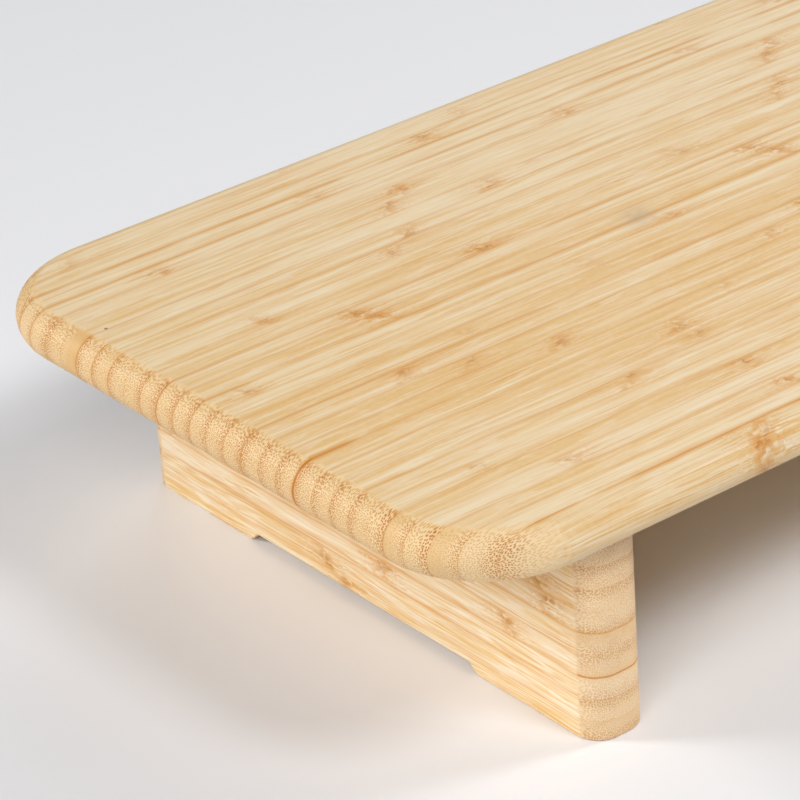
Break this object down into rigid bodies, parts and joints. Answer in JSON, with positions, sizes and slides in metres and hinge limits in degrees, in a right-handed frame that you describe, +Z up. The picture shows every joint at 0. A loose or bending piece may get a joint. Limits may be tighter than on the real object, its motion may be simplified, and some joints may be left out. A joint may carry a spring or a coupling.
{
  "type": "raised cutting board",
  "caption": "Rectangular bamboo cutting board with rounded corners and a bull-nosed edge, raised on two cross legs that are relieved underneath into feet.",
  "frame": {"origin": "the middle of the rectangle that the board covers, on the surface that its feet stand on", "axes": "+X along the board and its grain, +Y across the board towards its back edge, +Z up out of the working surface"},
  "size_m": [0.305, 0.178, 0.0626],
  "materials": {
    "board_bamboo": "satin, lightly oiled, edge-grain bamboo",
    "leg_bamboo": "satin, lightly oiled, edge-grain bamboo",
    "dowel_hardwood": "plain turned wood, glued in and out of sight"
  },
  "bodies": {
    "root": {"board_strip_01": "board_bamboo", "board_strip_02": "board_bamboo", "board_strip_03": "board_bamboo", "board_strip_04": "board_bamboo", "board_strip_05": "board_bamboo", "board_strip_06": "board_bamboo", "board_strip_07": "board_bamboo", "board_strip_08": "board_bamboo", "board_strip_09": "board_bamboo", "board_strip_10": "board_bamboo", "board_strip_11": "board_bamboo", "board_strip_12": "board_bamboo", "board_strip_13": "board_bamboo", "board_strip_14": "board_bamboo", "board_strip_15": "board_bamboo", "board_strip_16": "board_bamboo", "board_strip_17": "board_bamboo", "board_strip_18": "board_bamboo", "board_strip_19": "board_bamboo", "board_strip_20": "board_bamboo", "board_strip_21": "board_bamboo", "board_strip_22": "board_bamboo", "board_strip_23": "board_bamboo", "board_strip_24": "board_bamboo", "board_strip_25": "board_bamboo", "board_strip_26": "board_bamboo", "board_strip_27": "board_bamboo", "board_strip_28": "board_bamboo", "board_strip_29": "board_bamboo", "board_strip_30": "board_bamboo", "left_leg_layer_1": "leg_bamboo", "left_leg_layer_2": "leg_bamboo", "left_leg_layer_3": "leg_bamboo", "left_leg_layer_4": "leg_bamboo", "left_leg_layer_5": "leg_bamboo", "left_leg_layer_6": "leg_bamboo", "left_leg_layer_7": "leg_bamboo", "left_leg_layer_8": "leg_bamboo", "left_leg_layer_9": "leg_bamboo", "left_leg_layer_10": "leg_bamboo", "right_leg_layer_1": "leg_bamboo", "right_leg_layer_2": "leg_bamboo", "right_leg_layer_3": "leg_bamboo", "right_leg_layer_4": "leg_bamboo", "right_leg_layer_5": "leg_bamboo", "right_leg_layer_6": "leg_bamboo", "right_leg_layer_7": "leg_bamboo", "right_leg_layer_8": "leg_bamboo", "right_leg_layer_9": "leg_bamboo", "right_leg_layer_10": "leg_bamboo", "left_leg_dowel_1": "dowel_hardwood", "left_leg_dowel_2": "dowel_hardwood", "left_leg_dowel_3": "dowel_hardwood", "right_leg_dowel_1": "dowel_hardwood", "right_leg_dowel_2": "dowel_hardwood", "right_leg_dowel_3": "dowel_hardwood"}
  },
  "joints": []
}
